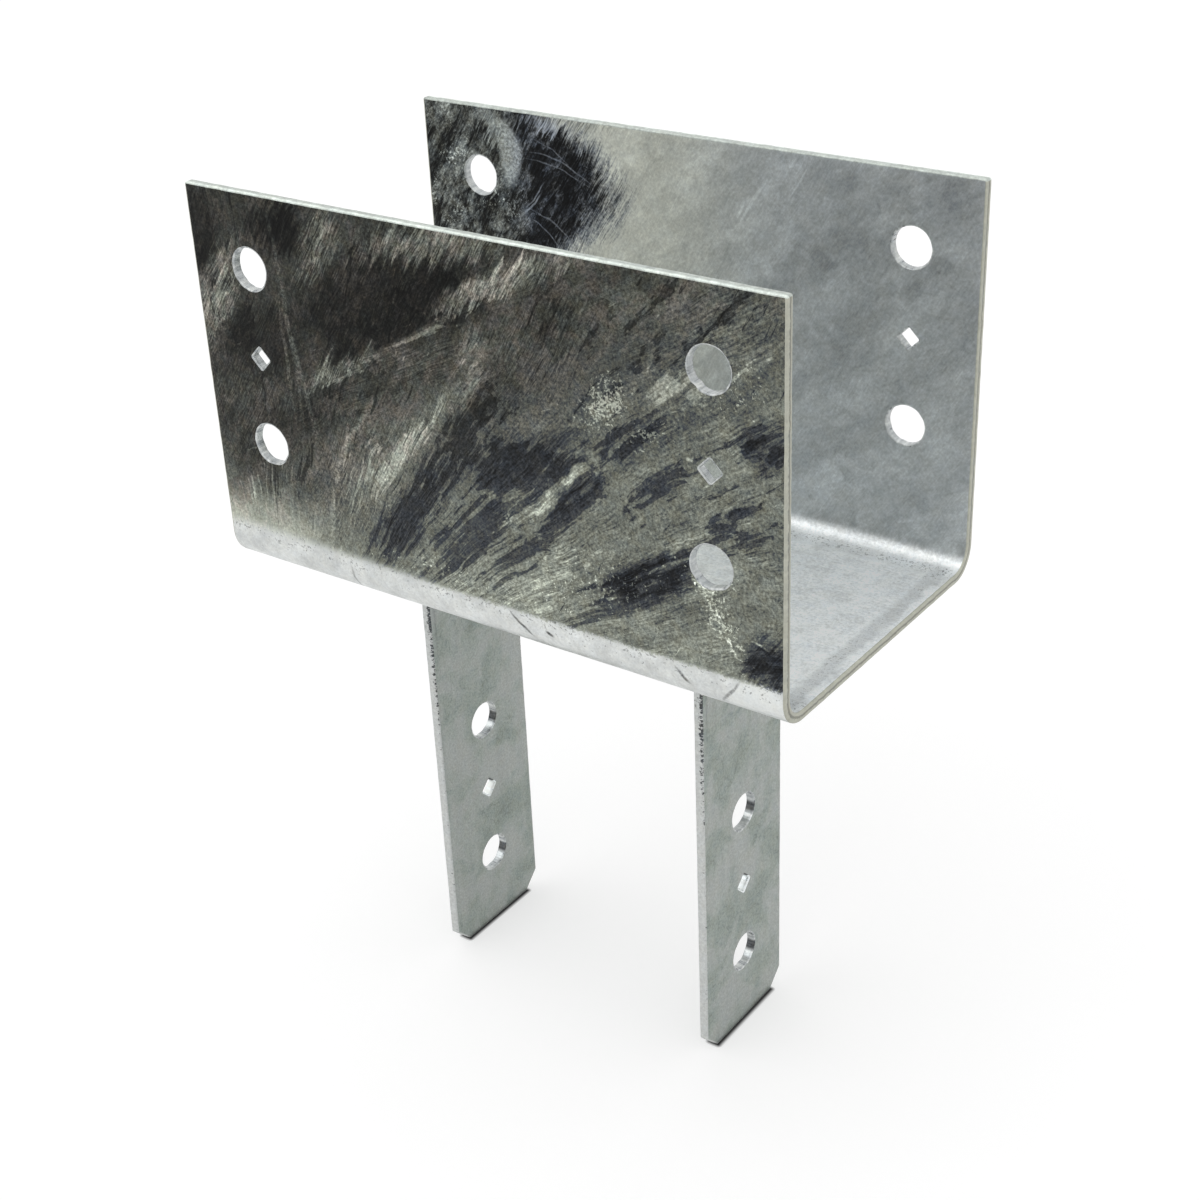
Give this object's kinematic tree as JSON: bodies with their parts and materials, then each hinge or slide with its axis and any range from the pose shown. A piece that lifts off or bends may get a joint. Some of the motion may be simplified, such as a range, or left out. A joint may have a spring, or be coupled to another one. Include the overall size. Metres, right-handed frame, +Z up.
{
  "type": "column cap",
  "caption": "Galvanised steel column cap: a folded U saddle with bolt holes carries a beam, and flat straps welded underneath are bolted to the post.",
  "frame": {"origin": "on the floor, midway between the feet of the two straps", "axes": "+X along the beam, +Y across the beam, +Z up"},
  "size_m": [0.2794, 0.1536, 0.3855],
  "materials": {
    "saddle_zinc": "hot-dip galvanised, spangled",
    "strap_zinc": "hot-dip galvanised, satin",
    "weld_zinc": "hot-dip galvanised over a weld bead"
  },
  "bodies": {
    "root": {"beam_saddle": "saddle_zinc", "left_post_strap": "strap_zinc", "right_post_strap": "strap_zinc", "left_strap_weld": "weld_zinc", "right_strap_weld": "weld_zinc"}
  },
  "joints": []
}
